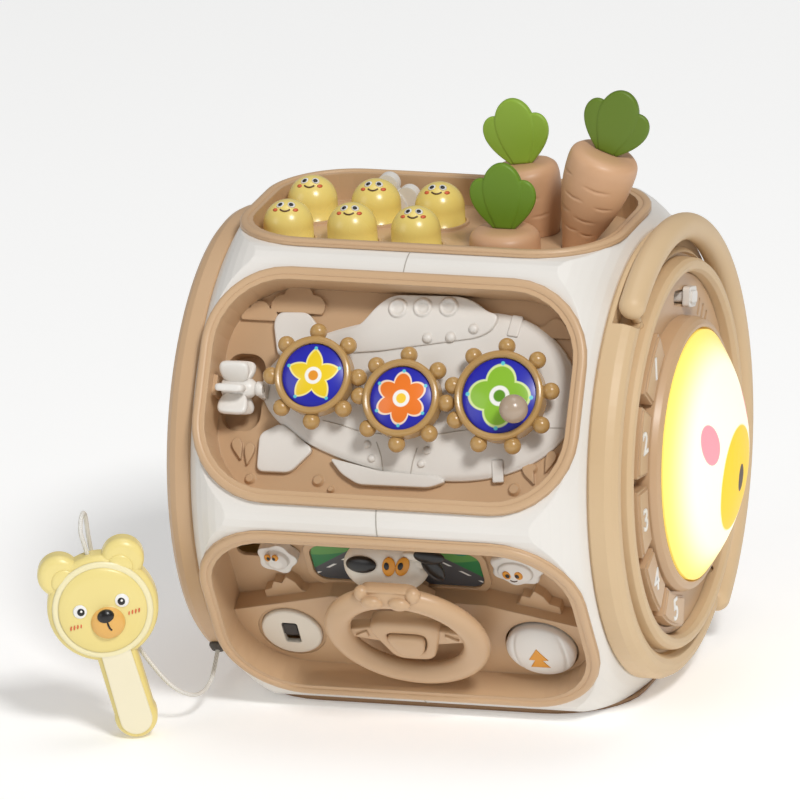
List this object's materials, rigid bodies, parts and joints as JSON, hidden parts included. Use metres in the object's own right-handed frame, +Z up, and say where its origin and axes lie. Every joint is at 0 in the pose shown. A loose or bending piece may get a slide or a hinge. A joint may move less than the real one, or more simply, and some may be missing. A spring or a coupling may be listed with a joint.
{
  "type": "baby whack-a-mole activity toy",
  "caption": "Hexagonal free-standing baby activity drum with pop-up moles, pull-out carrots, meshing gears, steering wheel, key-ring drum end and a corded bear mallet.",
  "frame": {"origin": "centre of the base on the floor, under the middle of the hexagonal body", "axes": "+Z up, +X to the right towards the drum end, -Y to the front with the gears and the steering wheel"},
  "size_m": [0.3171, 0.2746, 0.3017],
  "materials": {
    "white_plastic": "smooth semi-gloss moulded plastic",
    "tan_plastic": "smooth semi-gloss moulded plastic",
    "light_tan_plastic": "smooth semi-gloss moulded plastic",
    "dark_tan_plastic": "smooth satin moulded plastic",
    "ochre_plastic": "smooth semi-gloss moulded plastic",
    "yellow_plastic": "smooth semi-gloss moulded plastic",
    "cream_plastic": "smooth semi-gloss moulded plastic",
    "clay_plastic": "satin moulded plastic",
    "green_plastic": "satin moulded plastic",
    "lit_dome": "milky translucent plastic over a lamp",
    "grey_tan_plastic": "smooth gloss moulded plastic",
    "printed_card": "printed plastic sheet",
    "dark_plastic": "matte dark plastic",
    "soft_rubber": "soft matte rubber",
    "cord_white": "braided cord sleeve",
    "spring_steel": "bright drawn wire",
    "board_green": "coated circuit board",
    "cell_metal": "wrapped metal cell",
    "screw_steel": "zinc-plated screw"
  },
  "bodies": {
    "housing": {"shell_left": "white_plastic", "shell_right": "white_plastic", "airship_panel": "white_plastic", "driver_head": "white_plastic", "top_tray": "tan_plastic", "gear_tray": "tan_plastic", "drive_tray": "tan_plastic", "lower_back_tray": "tan_plastic", "upper_back_tray": "tan_plastic", "right_end_plate": "tan_plastic", "right_end_ring": "light_tan_plastic", "left_end_cap": "light_tan_plastic", "base_tray": "dark_tan_plastic", "battery_door": "dark_tan_plastic", "switch_plate": "cream_plastic", "windscreen_card": "printed_card", "speaker": "dark_plastic", "battery_box": "dark_plastic", "cord_grommet": "soft_rubber", "hammer_cord": "cord_white", "mole_springs": "spring_steel", "main_board": "board_green", "batteries": "cell_metal", "screws": "screw_steel"},
    "mole_1": {"mole_1": "yellow_plastic"},
    "mole_2": {"mole_2": "yellow_plastic"},
    "mole_3": {"mole_3": "yellow_plastic"},
    "mole_4": {"mole_4": "yellow_plastic"},
    "mole_5": {"mole_5": "yellow_plastic"},
    "mole_6": {"mole_6": "yellow_plastic"},
    "carrot_front": {"carrot_front": "clay_plastic", "leaf_front": "green_plastic"},
    "carrot_back": {"carrot_back": "clay_plastic", "leaf_back": "green_plastic"},
    "carrot_right": {"carrot_right": "clay_plastic", "leaf_right": "green_plastic"},
    "gear_right": {"gear_right": "ochre_plastic", "crank_knob": "grey_tan_plastic"},
    "gear_middle": {"gear_middle": "ochre_plastic"},
    "gear_left": {"gear_left": "ochre_plastic"},
    "paddle_wheel": {"paddle_wheel": "white_plastic"},
    "steering_wheel": {"steering_wheel": "tan_plastic"},
    "horn_button": {"horn_button": "tan_plastic"},
    "power_switch": {"power_switch": "dark_plastic"},
    "shell_button": {"shell_button": "white_plastic"},
    "left_slider": {"left_slider": "white_plastic"},
    "right_slider": {"right_slider": "white_plastic"},
    "key_1": {"key_1": "tan_plastic"},
    "key_2": {"key_2": "tan_plastic"},
    "key_3": {"key_3": "tan_plastic"},
    "key_4": {"key_4": "tan_plastic"},
    "key_5": {"key_5": "tan_plastic"},
    "drum_dome": {"drum_dome": "lit_dome"},
    "carry_handle": {"carry_handle": "light_tan_plastic"},
    "mode_slider": {"mode_slider": "white_plastic"},
    "flower_spinner": {"flower_spinner": "white_plastic"},
    "back_knob": {"back_knob": "yellow_plastic"},
    "clock_hand": {"clock_hand": "clay_plastic"},
    "hammer": {"hammer_shell": "yellow_plastic", "hammer_front": "cream_plastic"}
  },
  "joints": [
    {"name": "mole_1_press", "type": "slide", "parent": "housing", "child": "mole_1", "axis": [0, 0, -1], "range_m": [0, 0.009], "stiffness_N_per_m": 160, "springref_m": -0.004, "deforming": ["mole_springs"]},
    {"name": "mole_2_press", "type": "slide", "parent": "housing", "child": "mole_2", "axis": [0, 0, -1], "range_m": [0, 0.009], "stiffness_N_per_m": 160, "springref_m": -0.004, "deforming": ["mole_springs"]},
    {"name": "mole_3_press", "type": "slide", "parent": "housing", "child": "mole_3", "axis": [0, 0, -1], "range_m": [0, 0.009], "stiffness_N_per_m": 160, "springref_m": -0.004, "deforming": ["mole_springs"]},
    {"name": "mole_4_press", "type": "slide", "parent": "housing", "child": "mole_4", "axis": [0, 0, -1], "range_m": [0, 0.009], "stiffness_N_per_m": 160, "springref_m": -0.004, "deforming": ["mole_springs"]},
    {"name": "mole_5_press", "type": "slide", "parent": "housing", "child": "mole_5", "axis": [0, 0, -1], "range_m": [0, 0.009], "stiffness_N_per_m": 160, "springref_m": -0.004, "deforming": ["mole_springs"]},
    {"name": "mole_6_press", "type": "slide", "parent": "housing", "child": "mole_6", "axis": [0, 0, -1], "range_m": [0, 0.009], "stiffness_N_per_m": 160, "springref_m": -0.004, "deforming": ["mole_springs"]},
    {"name": "carrot_front_pull", "type": "slide", "parent": "housing", "child": "carrot_front", "axis": [0, 0, 1], "range_m": [0, 0.08]},
    {"name": "carrot_back_pull", "type": "slide", "parent": "housing", "child": "carrot_back", "axis": [-0.1392, 0, 0.9903], "range_m": [0, 0.08]},
    {"name": "carrot_right_pull", "type": "slide", "parent": "housing", "child": "carrot_right", "axis": [0.342, 0, 0.9397], "range_m": [0, 0.08]},
    {"name": "gear_right_turn", "type": "hinge", "parent": "housing", "child": "gear_right", "pos_m": [0.05515, -0.09916, 0.17575], "axis": [0, -0.866, 0.5], "continuous": true},
    {"name": "gear_middle_turn", "type": "hinge", "parent": "housing", "child": "gear_middle", "pos_m": [0.006, -0.10109, 0.1724], "axis": [0, -0.866, 0.5], "continuous": true},
    {"name": "gear_left_turn", "type": "hinge", "parent": "housing", "child": "gear_left", "pos_m": [-0.03955, -0.09667, 0.18007], "axis": [0, -0.866, 0.5], "continuous": true},
    {"name": "paddle_turn", "type": "hinge", "parent": "housing", "child": "paddle_wheel", "pos_m": [-0.08, -0.0921, 0.16998], "axis": [1, 0, 0], "continuous": true},
    {"name": "steering_turn", "type": "hinge", "parent": "housing", "child": "steering_wheel", "pos_m": [0.0027, -0.09509, 0.05221], "axis": [0, -0.766, -0.6428], "range_deg": [-60, 60]},
    {"name": "horn_press", "type": "slide", "parent": "steering_wheel", "child": "horn_button", "axis": [0, 0.766, 0.6428], "range_m": [0, 0.0025], "stiffness_N_per_m": 400, "springref_m": -0.001},
    {"name": "power_slide", "type": "slide", "parent": "housing", "child": "power_switch", "axis": [0, 0.5, -0.866], "range_m": [0, 0.0052]},
    {"name": "shell_button_press", "type": "slide", "parent": "housing", "child": "shell_button", "axis": [0, 0.866, 0.5], "range_m": [0, 0.003], "stiffness_N_per_m": 400, "springref_m": -0.001},
    {"name": "left_figure_slide", "type": "slide", "parent": "housing", "child": "left_slider", "axis": [-1, 0, 0], "range_m": [0, 0.015]},
    {"name": "right_figure_slide", "type": "slide", "parent": "housing", "child": "right_slider", "axis": [1, 0, 0], "range_m": [0, 0.015]},
    {"name": "key_1_press", "type": "slide", "parent": "housing", "child": "key_1", "axis": [-1, 0, 0], "range_m": [0, 0.003], "stiffness_N_per_m": 400, "springref_m": -0.001},
    {"name": "key_2_press", "type": "slide", "parent": "housing", "child": "key_2", "axis": [-1, 0, 0], "range_m": [0, 0.003], "stiffness_N_per_m": 400, "springref_m": -0.001},
    {"name": "key_3_press", "type": "slide", "parent": "housing", "child": "key_3", "axis": [-1, 0, 0], "range_m": [0, 0.003], "stiffness_N_per_m": 400, "springref_m": -0.001},
    {"name": "key_4_press", "type": "slide", "parent": "housing", "child": "key_4", "axis": [-1, 0, 0], "range_m": [0, 0.003], "stiffness_N_per_m": 400, "springref_m": -0.001},
    {"name": "key_5_press", "type": "slide", "parent": "housing", "child": "key_5", "axis": [-1, 0, 0], "range_m": [0, 0.003], "stiffness_N_per_m": 400, "springref_m": -0.001},
    {"name": "drum_press", "type": "slide", "parent": "housing", "child": "drum_dome", "axis": [-1, 0, 0], "range_m": [0, 0.002], "stiffness_N_per_m": 900, "springref_m": -0.001},
    {"name": "handle_swing", "type": "hinge", "parent": "housing", "child": "carry_handle", "pos_m": [0.1115, 0, 0.1175], "axis": [0, 0.5299, -0.848], "range_deg": [0, 100]},
    {"name": "mode_slide", "type": "slide", "parent": "housing", "child": "mode_slider", "axis": [0, -0.9703, 0.2419], "range_m": [0, 0.014]},
    {"name": "flower_turn", "type": "hinge", "parent": "housing", "child": "flower_spinner", "pos_m": [-0.0425, 0.0428, 0.2216], "axis": [0, 1, 0], "continuous": true},
    {"name": "back_knob_slide", "type": "slide", "parent": "housing", "child": "back_knob", "axis": [1, 0, 0], "range_m": [0, 0.148]},
    {"name": "clock_hand_turn", "type": "hinge", "parent": "housing", "child": "clock_hand", "pos_m": [0, 0.09959, 0.06], "axis": [0, 0.866, -0.5], "continuous": true},
    {"name": "hammer_lift", "type": "slide", "parent": "housing", "child": "hammer", "axis": [0, 0, 1], "range_m": [0, 0.1], "deforming": ["hammer_cord"]}
  ],
  "couplings": [
    {"joint": "gear_middle_turn", "follows": "gear_right_turn", "ratio": -1.125},
    {"joint": "gear_left_turn", "follows": "gear_right_turn", "ratio": 1.125}
  ]
}
